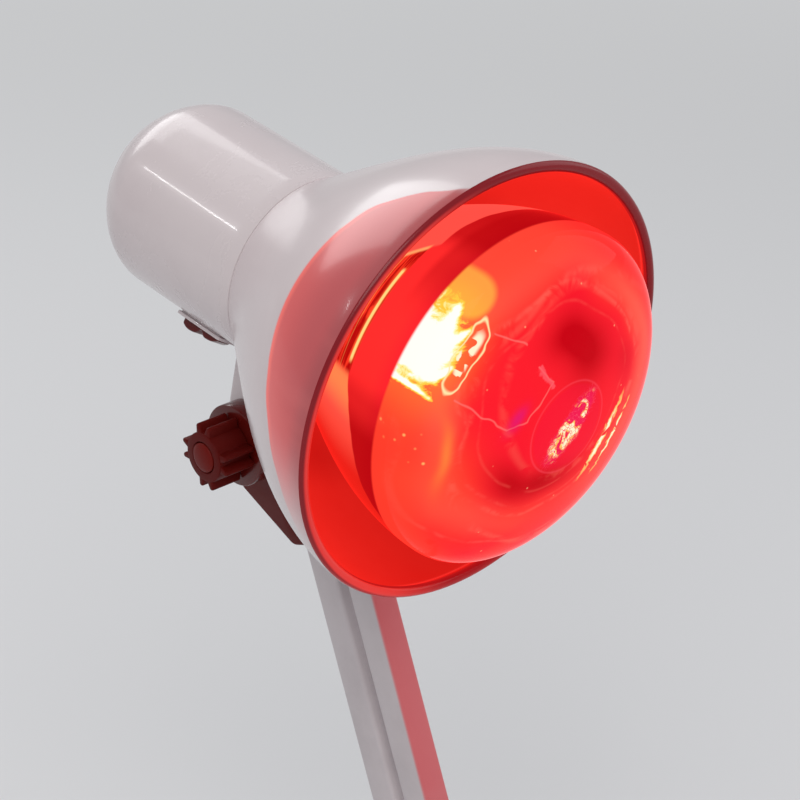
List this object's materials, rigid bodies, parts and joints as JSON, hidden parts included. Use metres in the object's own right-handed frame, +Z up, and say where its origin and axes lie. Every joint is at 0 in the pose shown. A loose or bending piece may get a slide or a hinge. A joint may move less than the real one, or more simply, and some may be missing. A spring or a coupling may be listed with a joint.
{
  "type": "infrared heat lamp",
  "caption": "Table heat lamp: bell shade with a red infrared reflector bulb, tilting on a parallel-bar swing arm over a weighted round base that swivels.",
  "frame": {"origin": "centre of the base pad's underside, on the surface the lamp stands on", "axes": "+Z up, -Y the way the beam points at rest, the clamp knobs and the switch are on the -X side"},
  "size_m": [0.23, 0.319, 0.4691],
  "materials": {
    "white_plastic": "glossy moulded white",
    "opal_plastic": "glossy translucent white that glows red round the bulb",
    "dark_red_plastic": "satin moulded dark red",
    "knob_cap_plastic": "satin red brown cap",
    "painted_bars": "pale satin paint",
    "grey_nylon": "plain nylon",
    "plated_steel": "bright zinc plate",
    "brass": "plain brass",
    "porcelain": "glazed white porcelain, opaque",
    "red_glass": "polished red filter glass",
    "clear_glass": "clear glass",
    "black_plastic": "black glass-like insulator",
    "black_sheet": "black powder coat",
    "iron": "rough casting",
    "black_rubber": "soft matt black"
  },
  "bodies": {
    "base": {"base_cover": "white_plastic", "base_plate": "black_sheet", "base_weight": "iron", "base_pad": "black_rubber", "base_screw_1": "plated_steel", "base_screw_2": "plated_steel", "base_screw_3": "plated_steel", "base_screw_4": "plated_steel", "cord_inlet": "black_rubber"},
    "yoke": {"arm_yoke": "dark_red_plastic", "yoke_pin": "plated_steel", "arm_bolt": "plated_steel", "swivel_spindle": "plated_steel", "swivel_nut": "plated_steel"},
    "arm_knob": {"arm_knob": "dark_red_plastic", "arm_knob_cap": "knob_cap_plastic"},
    "rear_bar": {"rear_bar": "painted_bars", "rear_bar_foot_plug": "grey_nylon", "rear_bar_top_plug": "grey_nylon"},
    "front_bar": {"front_bar": "painted_bars", "front_bar_foot_plug": "grey_nylon", "front_bar_top_plug": "grey_nylon"},
    "knuckle": {"arm_knuckle": "dark_red_plastic", "knuckle_pin_rear": "plated_steel", "knuckle_pin_front": "plated_steel"},
    "head": {"lamp_shade": "opal_plastic", "lamp_housing": "white_plastic", "holder_plate": "plated_steel", "holder_plate_screw_1": "plated_steel", "holder_plate_screw_2": "plated_steel", "holder_body": "porcelain", "holder_screw_1": "plated_steel", "holder_screw_2": "plated_steel", "holder_shell": "brass", "holder_contact": "brass", "bulb_envelope": "red_glass", "bulb_cap": "plated_steel", "bulb_insulator": "black_plastic", "bulb_contact": "brass", "bulb_stem": "clear_glass", "bulb_wire_1": "plated_steel", "bulb_wire_2": "plated_steel", "bulb_filament": "plated_steel", "switch_body": "dark_red_plastic", "head_fork": "white_plastic", "fork_screw_1": "plated_steel", "fork_screw_2": "plated_steel", "tilt_bolt": "plated_steel", "tilt_washer_1": "grey_nylon", "tilt_washer_2": "grey_nylon"},
    "tilt_knob": {"tilt_knob": "dark_red_plastic", "tilt_knob_cap": "knob_cap_plastic"},
    "switch_rocker": {"switch_rocker": "dark_red_plastic"}
  },
  "joints": [
    {"name": "base_swivel", "type": "hinge", "parent": "base", "child": "yoke", "pos_m": [0, 0, 0.0323], "axis": [0, 0, 1], "range_deg": [-170, 170]},
    {"name": "arm_swing", "type": "hinge", "parent": "yoke", "child": "rear_bar", "pos_m": [0, 0.00918, 0.05974], "axis": [1, 0, 0], "range_deg": [-38, 38]},
    {"name": "front_bar_swing", "type": "hinge", "parent": "yoke", "child": "front_bar", "pos_m": [0, -0.00918, 0.06686], "axis": [1, 0, 0], "range_deg": [-38, 38]},
    {"name": "knuckle_level", "type": "hinge", "parent": "rear_bar", "child": "knuckle", "pos_m": [0, 0.10321, 0.30214], "axis": [1, 0, 0], "range_deg": [-38, 38]},
    {"name": "head_tilt", "type": "hinge", "parent": "knuckle", "child": "head", "pos_m": [0, 0.12641, 0.32974], "axis": [1, 0, 0], "range_deg": [-70, 15]},
    {"name": "tilt_knob_turn", "type": "hinge", "parent": "head", "child": "tilt_knob", "pos_m": [0, 0.12641, 0.32974], "axis": [1, 0, 0], "range_deg": [-15, 345]},
    {"name": "arm_knob_turn", "type": "hinge", "parent": "yoke", "child": "arm_knob", "pos_m": [0, -0.00918, 0.06686], "axis": [1, 0, 0], "range_deg": [-15, 345]},
    {"name": "switch_rock", "type": "hinge", "parent": "head", "child": "switch_rocker", "pos_m": [-0.01992, 0.14162, 0.37238], "axis": [-0.8482, -0.0737, 0.5246], "range_deg": [-10, 0]}
  ],
  "couplings": [
    {"joint": "front_bar_swing", "follows": "arm_swing", "ratio": 1},
    {"joint": "knuckle_level", "follows": "arm_swing", "ratio": -1}
  ]
}
